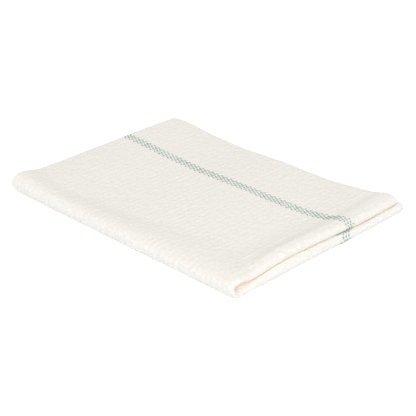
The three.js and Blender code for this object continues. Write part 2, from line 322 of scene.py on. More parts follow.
print("The upper roll's layers are %.1f mm apart at mid-width" % (
    2 * round_roll(zero, zero, 1.0).half))

# %% [markdown]
# The folding function joins the two bends. Off the sheet's middle a point goes along the pair's
# own normal, and the whole pair is carried round the loop, as a thick mat would be.

# %% The folding function
def fold(u, v, off, extra=0.0):
    """Carries points of the flat cloth into the stack, in metres.

    Each coordinate runs straight along a layer up to its bend and then turns through the half
    circle. off is the distance from the sheet's middle, outwards from the pair, and extra is what
    a hem adds inside its pair. The distance off the pair's middle is the half distance plus off,
    times the sine of the roll's angle. Round the loop it is added to the radius, so the height is
    the loop's middle plus that sum times the sine of the loop's angle, and y goes with its cosine.
    """
    u, v, off = np.broadcast_arrays(np.asarray(u, float), np.asarray(v, float), np.asarray(off, float))
    loop = round_loop(np.minimum(HALF_LENGTH + ROLL_WRAP - np.abs(u), ROLL_LINE), v)
    roll = round_roll(u, loop.y, loop.upper)
    level_x = np.minimum(roll.x, ROLL_LINE)

    off = np.where(off < 0, off - extra, off)
    level_off = np.sign(u) * (half_pair(level_x, loop.y, loop.upper) + off)
    pair_off = np.where(roll.inside_bend, (roll.half + off) * np.sin(roll.angle), level_off)
    reach = np.where(roll.inside_bend, (roll.broad + off) * np.cos(roll.angle), 0.0)

    _, _, lower, higher = pair_heights(level_x, loop.y)
    level_z = np.where(v > 0, higher + pair_off, lower - pair_off)
    way = (level_x + HALF_LENGTH) / FOLDED_LENGTH
    belly = column(ALONG, "belly", way) * np.cos(loop.angle) ** 2
    loop_z = loop.height + (loop.radius + pair_off) * np.sin(loop.angle) + belly
    z = np.where(loop.inside_bend, loop_z, level_z)
    y = np.where(loop.inside_bend, loop.start - (loop.broad + pair_off) * np.cos(loop.angle), loop.y)

    move_x, move_y = unevenness(roll.x, loop.y, loop.upper, (1 - np.sin(roll.angle)) / 2)
    place = np.stack([roll.x + reach + move_x - OUTLINE_MIDDLE[0], y + move_y - OUTLINE_MIDDLE[1],
                      np.maximum(z, 0.0)], axis=-1)
    return place * MM


corner = fold(8.0, 12.0, HALF_SHEET)
print("The cloth next to where both folds meet lies at", corner.round(4), "m")

# %% [markdown]
# ## The weave's relief
# Up close the cloth is a row of soft ribs, one for each pair of thick yarns, 7.4 mm apart and
# running across it. Where a soft yarn comes up between two threads it swells, so the ribs are
# pebbly with swellings that lie aslant, and the spinning leaves a fine grain. All this is real
# relief in the mesh, because it catches the light at any distance and shows in the outline. Thread
# finer than the mesh is left to the material. A Displace modifier with a texture could do it, but
# not along the folded sheet's own directions. Random values come from seeded tables, so every run
# is the same.

# %% Soft noise
NOISE_CELLS = 512


def soft_noise(u, v, cell_u, cell_v, seed):
    """Random values from -1 to 1 at the corners of cells of the given size, with smooth steps
    between them in both directions."""
    table = np.random.default_rng(seed).uniform(-1, 1, (NOISE_CELLS, NOISE_CELLS))
    a, b = u / cell_u, v / cell_v
    i, j = np.floor(a).astype(int), np.floor(b).astype(int)
    fa, fb = ease(a - i), ease(b - j)
    this_i, next_i = i % NOISE_CELLS, (i + 1) % NOISE_CELLS
    this_j, next_j = j % NOISE_CELLS, (j + 1) % NOISE_CELLS
    near = mix(table[this_i, this_j], table[next_i, this_j], fa)
    far = mix(table[this_i, next_j], table[next_i, next_j], fa)
    return mix(near, far, fb)


print("Soft noise at a cell's corner:", soft_noise(np.array(0.0), np.array(0.0), 1.0, 1.0, 1).round(3))

# %% [markdown]
# The relief is the sum of three patterns, each with a depth of its own. The rib is a wave whose
# line strays and whose strength varies from place to place, as it does where the loom's pull isn't
# quite even. The swellings are noise in slanting cells of about 5 by 6 mm, and the grain is noise
# in cells of two or three millimetres.

# %% Relief of ribs, pebbles and grain
RIB_PITCH = 7.4
RIB_DEPTH = 0.40
RIB_WANDER = 0.9                    # how far a rib strays from its line
RIB_WANDER_CELL = (30.0, 20.0)
RIB_STRENGTH, RIB_STRENGTH_SWING = 0.75, 0.25   # a rib's mean strength, and how much it varies
RIB_STRENGTH_CELL = (50.0, 30.0)
PEBBLE_DEPTH = 0.44
PEBBLE_CELL = (6.5, 8.5)
GRAIN_DEPTH = 0.25
GRAIN_CELL = (2.4, 3.0)
RELIEF_FADE = 14.0   # hidden layers are plain beyond this distance past the cross fold
SEEDS = {"wander": 1, "strength": 2, "grain": 3, "pebble": 4}


def weave_relief(u, v):
    """Depth of the face under its highest threads, 0 or less: a cosine rib along u, whose place
    and strength vary, plus swellings from noise on u + v and u - v, plus a finer noise."""
    wander = RIB_WANDER * soft_noise(u, v, *RIB_WANDER_CELL, SEEDS["wander"])
    rib = 0.5 - 0.5 * np.cos(2 * math.pi * (u + wander) / RIB_PITCH)
    varied = soft_noise(u, v, *RIB_STRENGTH_CELL, SEEDS["strength"])
    strength = RIB_STRENGTH + RIB_STRENGTH_SWING * varied
    pebble = 0.5 + 0.5 * soft_noise(u + v, u - v, *PEBBLE_CELL, SEEDS["pebble"])
    grain = 0.5 + 0.5 * soft_noise(u, v, *GRAIN_CELL, SEEDS["grain"])
    shown = ease((u + RELIEF_FADE) / RELIEF_FADE)
    return -(RIB_DEPTH * rib * strength + PEBBLE_DEPTH * pebble + GRAIN_DEPTH * grain) * shown


sample = weave_relief(np.linspace(20, 320, 400)[:, None], np.linspace(20, 220, 300)[None, :])
print("Relief: mean %.2f mm, deepest %.2f mm" % (sample.mean(), sample.min()))

# %% [markdown]
# ## Dividing the cloth
# The outside face is divided finely where it shows, at a sixth of a rib along the cloth, and
# coarsely in the hidden layers. The inside face takes every second line of the outside one, which
# saves faces and still lets the two be joined at the edge.

# %% Lines of the mesh
EDGE_ROUND = 1.2   # the edges' roundness reaches this far, so the flat faces stop short of it
U_END = FOLDED_LENGTH + ROLL_WRAP - EDGE_ROUND
V_END = FOLDED_WIDTH + LOOP_WRAP - EDGE_ROUND
FINE_FROM = -24.0          # past either fold the hidden layers begin to be coarse here
HEM_MARGIN = 1.0           # the hidden layers have a line this much further in than a hem's width
HEM_LINE = HEM_MARGIN - U_END + HEM_WIDTH
HIDDEN_ROWS, SHOWN_ROWS = 37, 303
HIDDEN_COLUMNS, SHOWN_COLUMNS = 49, 151

closing_in = np.sin(np.linspace(RIGHT_ANGLE, 0, HIDDEN_ROWS)[1:-1])
hidden_u = FINE_FROM + (HEM_LINE + HEM_STEP - FINE_FROM) * closing_in
u_lines = np.concatenate([[-U_END, HEM_LINE, HEM_LINE + HEM_STEP], hidden_u,
                          np.linspace(FINE_FROM, U_END, SHOWN_ROWS)])
v_lines = np.concatenate([np.linspace(-V_END, FINE_FROM, HIDDEN_COLUMNS)[:-1],
                          np.linspace(FINE_FROM, V_END, SHOWN_COLUMNS)])
rows, columns = len(u_lines), len(v_lines)
print(rows, "lines across the cloth and", columns, "along it")
assert rows % 2 == 1 and columns % 2 == 1

# %% [markdown]
# ## One closed skin
# A sheet that is only one face thick can't be weighed or printed, so the cloth is a closed skin:
# the outside face, the inside face, and a rounded rim that joins them all the way round. The
# Solidify modifier could give the thickness, but it can't know that a hem is turned only inwards.

# %% The skin's two faces
def hem_extra(u):
    """What the turned hem adds inside its pair: all of it within the hem's width of the end, and
    a smooth step down beyond."""
    past = U_END + EDGE_ROUND - np.abs(u) - HEM_WIDTH
    return HEM_EXTRA * (1 - ease(past / HEM_STEP))


def outside(u, v):
    """The outside face: half the sheet out from its middle, less the weave's relief."""
    return fold(u, v, HALF_SHEET + weave_relief(u, v))


def inside(u, v):
    """The inside face: half the sheet in from its middle, and a hem's extra thickness."""
    return fold(u, v, np.full(np.broadcast(u, v).shape, -HALF_SHEET), hem_extra(u))


grid_u, grid_v = np.meshgrid(u_lines, v_lines, indexing="ij")
outer_points = outside(grid_u, grid_v)
inner_fine = inside(grid_u, grid_v)
inner_points = inner_fine[::2, ::2]
print("The outside face has", outer_points.size // 3, "points, the inside one", inner_points.size // 3)

# %% [markdown]
# The rim is half an oval round the sheet's edge. Along the woven edges the weft turns back at
# every second thread, and these little turns stand proud, which gives the edge its beaded look.

# %% The rim's points
RIM_STEPS = 5      # faces round the rim from the outside face to the inside one
RIM_BULGE = 0.8    # how far the rim stands out, as a share of half the thickness there
WEFT_NUB = 0.25    # the weft's turns stand proud at the woven edges by this much
NUBS_PER_RIB = 2

# the border's rows and columns, once round the cloth
border_i = np.concatenate([np.zeros(columns - 1, int), np.arange(rows - 1),
                           np.full(columns - 1, rows - 1), np.arange(rows - 1, 0, -1)])
border_j = np.concatenate([np.arange(columns - 1), np.full(rows - 1, columns - 1),
                           np.arange(columns - 1, 0, -1), np.zeros(rows - 1, int)])
border = len(border_i)
print("The rim has", border, "points round the cloth")


def rim_points(steps, bulge):
    """Rings of points from the outside face's border to the inside one's: the middle of the two,
    plus half their distance times the cosine of a turning angle, plus the way out of the cloth
    times the bulge times its sine."""
    middle = (outer_points + inner_fine) / 2
    step_in_i = np.clip(border_i, 1, rows - 2)
    step_in_j = np.clip(border_j, 1, columns - 2)
    out = middle[border_i, border_j] - middle[step_in_i, step_in_j]
    out /= np.linalg.norm(out, axis=1)[:, None]
    half = (outer_points - inner_fine)[border_i, border_j] / 2
    reach = np.linalg.norm(half, axis=1) * bulge
    along_woven = (border_j == 0) | (border_j == columns - 1)
    nub = np.cos(2 * NUBS_PER_RIB * math.pi * u_lines[border_i] / RIB_PITCH) * WEFT_NUB * MM
    reach = reach + np.where(along_woven, nub, 0.0)
    angles = np.linspace(0, math.pi, steps + 1)[1:-1]
    return [middle[border_i, border_j] + half * math.cos(a) + out * (reach * math.sin(a))[:, None]
            for a in angles]


rings = rim_points(RIM_STEPS, RIM_BULGE)

# %% [markdown]
# ## From points to a mesh
# Blender takes a mesh fastest as whole arrays: all points, then the corners of all faces in one
# row, and where each face starts in it. The UV map holds no picture. It keeps where each point was
# on the flat cloth, so that the materials' patterns follow the threads round every fold.

# %% Faces, meshes and the pattern map
FLAT_SPAN = (2 * (FOLDED_LENGTH + ROLL_WRAP), 2 * (FOLDED_WIDTH + LOOP_WRAP))


def grid_faces(first, count_i, count_j, flip):
    """Four corners of each cell of a grid whose points are numbered row by row."""
    i, j = np.meshgrid(np.arange(count_i - 1), np.arange(count_j - 1), indexing="ij")
    a = first + (i * count_j + j).ravel()
    corners = [a, a + 1, a + count_j + 1, a + count_j]
    return np.stack(corners[::-1] if flip else corners, axis=1)


def mesh_from(name, points, face_groups):
    """A mesh object from an array of points and arrays of faces of equal corner counts. It gives
    back the row of all the faces' corners as well."""
    loops = np.concatenate([faces.ravel() for faces in face_groups])
    sizes = np.concatenate([np.full(len(faces), faces.shape[1]) for faces in face_groups])
    starts = np.concatenate([[0], np.cumsum(sizes)[:-1]])
    mesh = bpy.data.meshes.new(name)
    mesh.vertices.add(len(points))
    mesh.vertices.foreach_set("co", points.astype(np.float32).ravel())
    mesh.loops.add(len(loops))
    mesh.loops.foreach_set("vertex_index", loops.astype(np.int32))
    mesh.polygons.add(len(sizes))
    mesh.polygons.foreach_set("loop_start", starts.astype(np.int32))
    mesh.polygons.foreach_set("use_smooth", np.ones(len(sizes), bool))
    mesh.update(calc_edges=True)
    mesh.validate()
    piece = bpy.data.objects.new(name, mesh)
    bpy.context.scene.collection.objects.link(piece)
    return piece, loops


def add_map(piece, loops, flat_u, flat_v):
    """A UV map that holds the flat cloth's own coordinates, as shares of its whole size."""
    layer = piece.data.uv_layers.new(name="FlatCloth")
    shares = np.stack([flat_u / FLAT_SPAN[0] + 0.5, flat_v / FLAT_SPAN[1] + 0.5], axis=1)
    layer.data.foreach_set("uv", shares[loops].astype(np.float32).ravel())


print("The pattern map spans %.0f by %.0f mm of flat cloth" % FLAT_SPAN)

# %% [markdown]
# The cloth's faces are four-sided, except for the last strip of the rim: there two fine steps meet
# one coarse step of the inside face, so each face has five corners and the seam stays closed.

# %% The cloth's skin
outer_count = rows * columns
ring_first = [outer_count + k * border for k in range(len(rings))]
inner_first = outer_count + len(rings) * border
inner_rows, inner_columns = inner_points.shape[:2]
following = (np.arange(border) + 1) % border

strips = []
upper_ring = border_i * columns + border_j
for first in ring_first:
    lower_ring = first + np.arange(border)
    strips.append(np.stack([upper_ring, lower_ring,
                            lower_ring[following], upper_ring[following]], axis=1))
    upper_ring = lower_ring

even = np.arange(border)[::2]
next_even = (even + 2) % border
inner_ring = inner_first + (border_i // 2) * inner_columns + border_j // 2
last_strip = np.stack([upper_ring[even], inner_ring[even], inner_ring[next_even],
                       upper_ring[next_even], upper_ring[even + 1]], axis=1)

quads = np.concatenate([grid_faces(0, rows, columns, False),
                        grid_faces(inner_first, inner_rows, inner_columns, True), *strips])
points = np.concatenate([outer_points.reshape(-1, 3), *rings, inner_points.reshape(-1, 3)])
cloth, cloth_loops = mesh_from("floor_cloth", points, [quads, last_strip])

flat_u = np.concatenate([grid_u.ravel(), *[u_lines[border_i]] * len(rings), grid_u[::2, ::2].ravel()])
flat_v = np.concatenate([grid_v.ravel(), *[v_lines[border_j]] * len(rings), grid_v[::2, ::2].ravel()])
add_map(cloth, cloth_loops, flat_u, flat_v)
cloth.data.calc_loop_triangles()
print("The cloth has", len(cloth.data.loop_triangles), "triangles")

# %% [markdown]
# ## The wavy stripes
# Each stripe is three green yarns laid in by the loom. They don't run straight: the weave pulls
# each one from side to side, once every rib, so it makes a zigzag. Each yarn floats over the ribs
# and dives into the cloth where it turns back. Painted lines would look flat from near by, so
# every yarn is a real tube that follows the zigzag on the flat cloth and is folded with it.

# %% A yarn's line
POINT_SHARPNESS = 0.94   # of the zigzag, where 1 is a bare point
STEP_OFF = 1.0           # off the face, to find which way is out


def zigzag(u):
    """A zigzag from -1 to 1 with softened points: the arcsine of a sine a little under 1."""
    wave = np.arcsin(POINT_SHARPNESS * np.sin(2 * math.pi * u / RIB_PITCH))
    return wave / math.asin(POINT_SHARPNESS)


def yarn_line(u, v, height):
    """A yarn's middle line on the folded cloth, with unit vectors sideways and out of the face:
    the cross product of the way off the face and the way ahead, and that of the way ahead and
    the first one."""
    centre = fold(u, v, HALF_SHEET + height)
    out = fold(u, v, HALF_SHEET + height + STEP_OFF) - centre
    ahead = np.gradient(centre, axis=0)
    side = np.cross(out, ahead)
    side /= np.linalg.norm(side, axis=1)[:, None]
    up = np.cross(ahead, side)
    up /= np.linalg.norm(up, axis=1)[:, None]
    return centre, side, up


print("A yarn turns back every %.1f mm" % (RIB_PITCH / 2))

# %% [markdown]
# The tube round that line has a ring of points at each step, and it is closed at both ends.

# %% A tube round the line
YARN_RADIUS = 0.35
YARN_BULGE = 0.33   # a yarn is thicker by this much where it turns
YARN_SIDES = 6


def tube(centres, sideways, upwards, radius, sides):
    """A closed tube round a line of points, as points, walls and two caps. Round each centre it
    has a ring: the cosine of an even angle along one unit vector and the sine along the other,
    both times the radius there."""
    angles = np.arange(sides) * 2 * math.pi / sides
    ring = (np.cos(angles)[None, :, None] * sideways[:, None, :] * radius
            + np.sin(angles)[None, :, None] * upwards[:, None, :] * radius)
    points = (centres[:, None, :] + ring).reshape(-1, 3)
    i, j = np.meshgrid(np.arange(len(centres) - 1), np.arange(sides), indexing="ij")
    a, b = (i * sides + j).ravel(), (i * sides + (j + 1) % sides).ravel()
    walls = np.stack([a, b, b + sides, a + sides], axis=1)
    start = np.arange(sides)[None, ::-1]
    end = (len(centres) - 1) * sides + np.arange(sides)[None, :]
    return points, walls, np.concatenate([start, end])


print("A yarn is %.2f mm thick, and %.2f mm where it turns" % (
    2 * YARN_RADIUS, 2 * (YARN_RADIUS + YARN_BULGE)))

# %% [markdown]
# Three such tubes side by side make a stripe. One stripe runs along the top of the stack, round
# the upper roll and back inside it, and the other does the same below. The six yarns are never
# apart, so they are joined as one piece. Each point also keeps how deep its yarn dives there,
# which the material needs later for the painted shade at each dive.

# %% The green yarns
STRIPE_FROM_FOLD = {"upper": 170.2, "lower": 161.0}   # the long fold isn't quite in the middle
LANES = (-1, 0, 1)
YARN_SPACING = 3.9
YARN_SWING = 1.3
YARN_SHORT = 1.0       # the yarns stop this far inside the hems' edges
YARN_END = U_END - YARN_SHORT
YARN_STEPS = 8         # points for each zigzag
YARN_SINK = 0.3        # how far a yarn's middle lies under the sheet's face,
YARN_FLOAT = 0.12      # less this much where it floats, and more where it dives
DIVE_POWER = 4         # the higher it is, the shorter the dive at each turn

yarn_parts, yarn_u, yarn_v, yarn_dive = [], [], [], []
for level, middle in STRIPE_FROM_FOLD.items():
    side_of_fold = 1 if level == "upper" else -1
    for lane in LANES:
        u = np.arange(-YARN_END, YARN_END, RIB_PITCH / YARN_STEPS)
        swing = zigzag(u)
        v = side_of_fold * (middle + LOOP_WRAP + lane * YARN_SPACING + YARN_SWING * swing)
        dive = np.abs(swing) ** DIVE_POWER
        line, sideways, upwards = yarn_line(u, v, YARN_FLOAT * (1 - 2 * dive) - YARN_SINK)
        radius = (YARN_RADIUS + YARN_BULGE * dive)[:, None, None] * MM
        yarn_parts.append(tube(line, sideways, upwards, radius, YARN_SIDES))
        yarn_u.append(np.repeat(u, YARN_SIDES))
        yarn_v.append(np.repeat(v, YARN_SIDES))
        yarn_dive.append(np.repeat(dive, YARN_SIDES))


def join_parts(parts):
    """Points and faces of several tubes as one set, each tube's faces counted on from the last."""
    counts = np.cumsum([0] + [len(part[0]) for part in parts])
    return (np.concatenate([part[0] for part in parts]),
            [np.concatenate([part[k] + counts[n] for n, part in enumerate(parts)]) for k in (1, 2)])


yarn_points, yarn_faces = join_parts(yarn_parts)
yarn_points[:, 2] = np.maximum(yarn_points[:, 2], 0.0)   # pressed flat against the floor
yarns, yarn_loops = mesh_from("stripe_yarns", yarn_points, yarn_faces)
add_map(yarns, yarn_loops, np.concatenate(yarn_u), np.concatenate(yarn_v))
dive_layer = yarns.data.attributes.new("dive", "FLOAT", "POINT")
dive_layer.data.foreach_set("value", np.concatenate(yarn_dive).astype(np.float32))
print("The stripes have", len(yarn_parts), "yarns and", len(yarns.data.polygons), "faces")

# %% [markdown]
# ## Materials
# The cotton is off-white and quite matt. Three things keep it from looking like plaster: the fine
# plain weave between the ribs, the fuzz of the fibres, and small differences in how pale each
# stretch of yarn is. The first two are bump, the third is colour. First come a few helpers that
# each add one node, so that a material reads as a list of steps.

# %% Helpers for nodes
def node(tree, kind, x, y, **settings):
    """Adds a node of the given kind at a place in the tree and applies its settings."""
    new = tree.nodes.new(kind)
    new.location = (x, y)
    for name, value in settings.items():
        setattr(new, name, value)
    return new


def feed(tree, socket, value):
    """Gives a socket its value: a link from another socket, or a plain number or colour."""
    if isinstance(value, bpy.types.NodeSocket):
        tree.links.new(value, socket)
    else:
        socket.default_value = value


def maths(tree, operation, values, x, y, use_clamp=False):
    """A Math node fed with sockets or plain numbers, in their order."""
    new = node(tree, "ShaderNodeMath", x, y, operation=operation, use_clamp=use_clamp)
    for socket, value in zip(new.inputs, values):
        feed(tree, socket, value)
    return new.outputs[0]


def eased(tree, value, start, end, x, y):
    """A smooth step of a value: 0 at start and 1 at end, whichever of the two is greater."""
    new = node(tree, "ShaderNodeMapRange", x, y, interpolation_type="SMOOTHSTEP")
    new.inputs["From Min"].default_value = start
    new.inputs["From Max"].default_value = end
    tree.links.new(value, new.inputs["Value"])
    return new.outputs["Result"]


def mixed(tree, first, second, share, x, y):
    """A Mix node for two colours, each a plain one or a socket, by a share."""
    new = node(tree, "ShaderNodeMix", x, y, data_type="RGBA")
    feed(tree, new.inputs["A"], first)
    feed(tree, new.inputs["B"], second)
    tree.links.new(share, new.inputs["Factor"])
    return new.outputs["Result"]


print("Node helpers:", ", ".join(helper.__name__ for helper in (node, feed, maths, eased, mixed)))

# %% [markdown]
# Each material also starts with a shader, reads the flat cloth's coordinates and ends with bump.
# The coordinates come from the piece's own UV map, so a pattern keeps to the threads round every
# fold.

# %% Shader, coordinates and bump
def principled(name):
    """A new material with its shader, which is returned with the node tree."""
    material = bpy.data.materials.new(name)
    material.use_nodes = True
    return material, material.node_tree, material.node_tree.nodes["Principled BSDF"]


def flat_coordinates(tree, x, y):
    """The flat cloth's coordinates in millimetres, counted from its two folds: the piece's own UV
    map times the cloth's span, less half of it."""
    uv = node(tree, "ShaderNodeUVMap", x, y, uv_map="FlatCloth")
    scaled = node(tree, "ShaderNodeVectorMath", x + 200, y, operation="MULTIPLY_ADD")
    scaled.inputs[1].default_value = (FLAT_SPAN[0], FLAT_SPAN[1], 1.0)
    scaled.inputs[2].default_value = (-FLAT_SPAN[0] / 2, -FLAT_SPAN[1] / 2, 0.0)
    tree.links.new(uv.outputs[0], scaled.inputs[0])
    return scaled.outputs[0]


def bumped(tree, shader, height, strength, distance):
    """Bump on a shader's normal, from a height between 0 and 1 that stands for a distance."""
    bump = node(tree, "ShaderNodeBump", -230, -100)
    bump.inputs["Strength"].default_value = strength
    bump.inputs["Distance"].default_value = distance
    tree.links.new(height, bump.inputs["Height"])
    tree.links.new(bump.outputs["Normal"], shader.inputs["Normal"])


map_names = {layer.name for piece in (cloth, yarns) for layer in piece.data.uv_layers}
print("The materials can read the maps", map_names)

# %% [markdown]
# ## Spun cotton
# Cotton and green yarn are spun alike: short fibres stand off the yarn as fuzz, and each stretch
# of it is a little paler or deeper than the next. Both effects are soft noise on the flat cloth.
# How close the fuzz lies is an input, since the loose cotton's gathers in soft tufts and the tight
# yarn's is fine. The two materials share these effects, so they are one node group with named
# inputs and outputs, placed in each material with its own value.

# %% The fibre group
SHADE_STRETCH = 0.3   # cells of shade for each millimetre
FUZZ_DETAIL = 2.0
SHADE_DETAIL = 1.0


def spun_fibre_group():
    """Spun cotton: noise at the fuzz's own scale for the height, and noise on coordinates that
    are made smaller for the shade of each stretch. Both are about 0.5."""
    group = bpy.data.node_groups.new("SpunFibre", "ShaderNodeTree")
    group.interface.new_socket("Flat mm", in_out="INPUT", socket_type="NodeSocketVector")
    group.interface.new_socket("Fuzz per mm", in_out="INPUT", socket_type="NodeSocketFloat")
    group.interface.new_socket("Height", in_out="OUTPUT", socket_type="NodeSocketFloat")
    group.interface.new_socket("Shade", in_out="OUTPUT", socket_type="NodeSocketFloat")
    entry = node(group, "NodeGroupInput", -600, 0)
    leave = node(group, "NodeGroupOutput", 400, 0)
    fuzz = node(group, "ShaderNodeTexNoise", -200, 150, noise_dimensions="2D")
    fuzz.inputs["Detail"].default_value = FUZZ_DETAIL
    stretch = node(group, "ShaderNodeVectorMath", -400, -150, operation="MULTIPLY")
    stretch.inputs[1].default_value = (SHADE_STRETCH, SHADE_STRETCH, 1.0)
    shade = node(group, "ShaderNodeTexNoise", -200, -150, noise_dimensions="2D")
    shade.inputs["Scale"].default_value = 1.0
    shade.inputs["Detail"].default_value = SHADE_DETAIL
    group.links.new(entry.outputs["Flat mm"], fuzz.inputs["Vector"])
    group.links.new(entry.outputs["Fuzz per mm"], fuzz.inputs["Scale"])
    group.links.new(entry.outputs["Flat mm"], stretch.inputs[0])
    group.links.new(stretch.outputs[0], shade.inputs["Vector"])
    group.links.new(fuzz.outputs["Fac"], leave.inputs["Height"])
    group.links.new(shade.outputs["Fac"], leave.inputs["Shade"])
    return group


def spun_fibre(tree, flat, fuzz_per_mm, x, y):
    """The fibre group placed in a material, on its flat coordinates."""
    placed = node(tree, "ShaderNodeGroup", x, y, node_tree=fibre)
    placed.inputs["Fuzz per mm"].default_value = fuzz_per_mm
    tree.links.new(flat, placed.inputs["Flat mm"])
    return placed.outputs["Height"], placed.outputs["Shade"]


fibre = spun_fibre_group()
print("Made the node group", fibre.name)

# %% [markdown]
# ## The fine plain weave
# Between the ribs each thread goes over one and under the next, so the face is a small chequer of
# bulges. The product of two sines has that shape, high where both threads are on the same side of
# their middle. It is too fine for the mesh, so it is part of the bump's height.

# %% The fine weave's height
FINE_WEFT = RIB_PITCH / 6
FINE_WARP = 1.5
CHEQUER_SHARE = 0.06   # of the bump's height, beside the fuzz


def woven_height(tree, along, across, fuzz):
    """The bump's height: the sine of a full turn for each weft thread times the sine of one for
    each warp thread, times a small share, plus the fuzz."""
    weft_turns = maths(tree, "MULTIPLY", [along, 2 * math.pi / FINE_WEFT], -950, 350)
    warp_turns = maths(tree, "MULTIPLY", [across, 2 * math.pi / FINE_WARP], -950, 200)
    weft = maths(tree, "SINE", [weft_turns], -780, 350)
    warp = maths(tree, "SINE", [warp_turns], -780, 200)
    chequer = maths(tree, "MULTIPLY", [weft, warp], -600, 280)
    return maths(tree, "MULTIPLY_ADD", [chequer, CHEQUER_SHARE, fuzz], -430, 280)


print("The fine weave repeats every %.2f by %.2f mm" % (FINE_WEFT, FINE_WARP))

# %% [markdown]
# ## Where the cloth is tucked in
# In the gap between the two rolls the cotton looks peach: light comes through the layers and is
# passed on from face to face, and every pass makes it warmer. Where the stripes run through the
# gap it turns a dull green. Subsurface scattering would do the first by itself, but the skin is
# closed and thick, and it would wash out the weave everywhere else. So that light is painted on the
# hidden stretch just past the cross fold: a warm colour, dull green by the stripes, and a faint
# glow, all eased in and out, and away from the woven edges, where the gap is open to the side.

# %% Masks for the tucked cloth
TUCKED_FROM, TUCKED_RUN = -4.5, 7.0     # the painted warm light rises inwards from here over this length,
TUCKED_TO, TUCKED_FADE = -30.0, 30.0    # and fades away again past here
GLOW_FROM, GLOW_TO, GLOW_FADE = -5.0, -9.0, 14.0   # and so does the glow, sooner
OPEN_EDGE = 9.0                         # nothing is tucked in within this distance of the woven edges
LOOP_DARK, LOOP_SOFT = 7.0, 14.0        # no light comes through this near to the long fold
STRIPES_MIDDLE = 166.0                  # where both stripes pass through the gap, from the long fold
STRIPES_REACH, STRIPES_SOFT = 11.0, 5.0


def band(tree, along, start, run, end, fade, x, y):
    """1 on a stretch of the hidden layers and 0 elsewhere: a smooth step that rises inwards from
    start over run, times one that falls past end over fade."""
    rising = eased(tree, along, start, start - run, x, y)
    falling = eased(tree, along, end - fade, end, x, y - 260)
    return maths(tree, "MULTIPLY", [rising, falling], x + 200, y)


def off_the_stripes(tree, aside):
    """0 at the stripes and 1 away from them: a smooth step of the distance from their middle."""
    off = maths(tree, "SUBTRACT", [aside, STRIPES_MIDDLE], -820, 700)
    off = maths(tree, "ABSOLUTE", [off], -640, 700)
    return eased(tree, off, STRIPES_REACH - STRIPES_SOFT, STRIPES_REACH, -460, 700)


def gap_light_masks(tree, along, aside):
    """Three masks. The first is 0 at the stripes. The second, for the painted warm light, is a band
    along the cloth times a smooth step away from the woven edges. The third, for the painted glow,
    is a shorter band times both of these steps and one away from the long fold."""
    plain = off_the_stripes(tree, aside)
    closed = eased(tree, aside, V_END, V_END - OPEN_EDGE, -600, 1900)
    near_fold = band(tree, along, TUCKED_FROM, TUCKED_RUN, TUCKED_TO, TUCKED_FADE, -600, 480)
    warm_light_share = maths(tree, "MULTIPLY", [near_fold, closed], -220, 450)
    reached = band(tree, along, GLOW_FROM, TUCKED_RUN, GLOW_TO, GLOW_FADE, -600, 1200)
    off_loop = eased(tree, aside, LOOP_DARK, LOOP_DARK + LOOP_SOFT, -600, 1650)
    thin = maths(tree, "MULTIPLY", [plain, off_loop], -400, 1500)
    lit = maths(tree, "MULTIPLY", [reached, thin], -220, 1300)
    lit = maths(tree, "MULTIPLY", [lit, closed], -120, 1100)
    return plain, warm_light_share, lit


print("The warm stretch runs from %.1f to %.1f mm past the cross fold" % (
    -TUCKED_FROM, TUCKED_FADE - TUCKED_TO))

# %% [markdown]
# ## The cotton's material
# The colour goes between two close creams by the fibre's shade, over to the painted light of the
# gap where the mask says so. Raw cotton scatters light evenly, so it is rough and has little shine.

# %% The cotton's material
COTTON_PALE = (0.760, 0.739, 0.702, 1.0)
COTTON_DEEP = (0.686, 0.661, 0.622, 1.0)
# painted light: the gap's warm and dull green colours and its glow stand for light passed on through
# the layers, not for the cotton's own colour
GAP_WARM_LIGHT_PAINT = (0.93, 0.845, 0.745, 1.0)
GAP_GREEN_LIGHT_PAINT = (0.70, 0.76, 0.70, 1.0)
THROUGH_LIGHT = (0.26, 0.228, 0.20, 1.0)   # what comes through the layers in the gap
NO_LIGHT = (0.0, 0.0, 0.0, 1.0)
SHADE_FROM, SHADE_TO = 0.1, 0.9     # the noise's range that is spread over both creams
COTTON_FUZZ = 0.15                  # cells of fuzz for each millimetre
COTTON_BUMP_STRENGTH = 1.0
COTTON_BUMP = 0.95                  # millimetres
COTTON_ROUGHNESS = 0.95
FIBRE_SHINE = 0.15


def cotton_material():
    """Off-white cotton: the shade's range spread from 0 to 1 blends two creams, the gap's mask blends
    that with the painted light of the gap, and the glow's mask blends no light with the painted
    light that comes through. Bump comes from the fine weave and the fuzz."""
    material, tree, shader = principled("coarse_cotton")
    flat = flat_coordinates(tree, -1400, 0)
    fuzz, shade = spun_fibre(tree, flat, COTTON_FUZZ, -900, -200)
    parts = node(tree, "ShaderNodeSeparateXYZ", -1150, 250)
    tree.links.new(flat, parts.inputs[0])
    along, across = parts.outputs["X"], parts.outputs["Y"]
    aside = maths(tree, "ABSOLUTE", [across], -1000, 700)
    height = woven_height(tree, along, across, fuzz)
    bumped(tree, shader, height, COTTON_BUMP_STRENGTH, COTTON_BUMP * MM)

    spread = node(tree, "ShaderNodeMapRange", -430, 60)
    spread.inputs["From Min"].default_value = SHADE_FROM
    spread.inputs["From Max"].default_value = SHADE_TO
    tree.links.new(shade, spread.inputs["Value"])
    cream = mixed(tree, COTTON_DEEP, COTTON_PALE, spread.outputs["Result"], -230, 200)

    plain, warm_light_share, lit = gap_light_masks(tree, along, aside)
    gap_light_colour = mixed(tree, GAP_GREEN_LIGHT_PAINT, GAP_WARM_LIGHT_PAINT, plain, -280, 600)
    feed(tree, shader.inputs["Base Color"], mixed(tree, cream, gap_light_colour, warm_light_share, -40, 300))
    feed(tree, shader.inputs["Emission Color"], mixed(tree, NO_LIGHT, THROUGH_LIGHT, lit, -40, 700))
    shader.inputs["Emission Strength"].default_value = 1.0
    shader.inputs["Roughness"].default_value = COTTON_ROUGHNESS
    shader.inputs["Specular IOR Level"].default_value = FIBRE_SHINE
    return material


cotton = cotton_material()
cloth.data.materials.append(cotton)
print("The cloth is made of", cotton.name)
